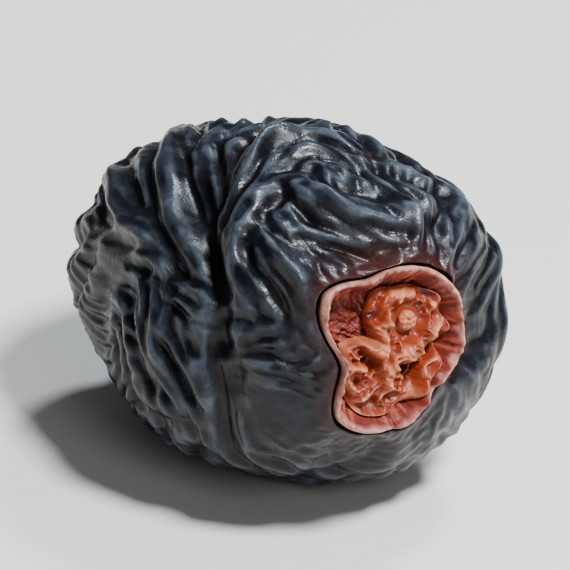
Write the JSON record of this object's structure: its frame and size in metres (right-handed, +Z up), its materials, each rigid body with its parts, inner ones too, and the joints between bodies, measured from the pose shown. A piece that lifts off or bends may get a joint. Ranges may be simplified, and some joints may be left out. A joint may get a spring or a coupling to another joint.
{
  "type": "ajwa date",
  "caption": "Small dried date lying on its side, with deeply wrinkled near-black skin and a crumpled orange cap of petals at its stalk end.",
  "frame": {"origin": "middle of the bounding box, on the plane the date rests on", "axes": "+Z up, +X along the date towards its stalk end, which is 10.5 degrees higher than level"},
  "size_m": [0.0303, 0.0238, 0.0233],
  "materials": {
    "date_skin": "satin, wrinkled, with a faint blue-grey bloom",
    "dried_petal": "dry and papery, paler at the rim",
    "dried_sepal": "dry, fibrous and crumpled",
    "stalk_fibre": "matte broken fibre"
  },
  "bodies": {
    "root": {"fruit": "date_skin", "petals": "dried_petal", "calyx": "dried_sepal", "stalk_scar": "stalk_fibre"}
  },
  "joints": []
}
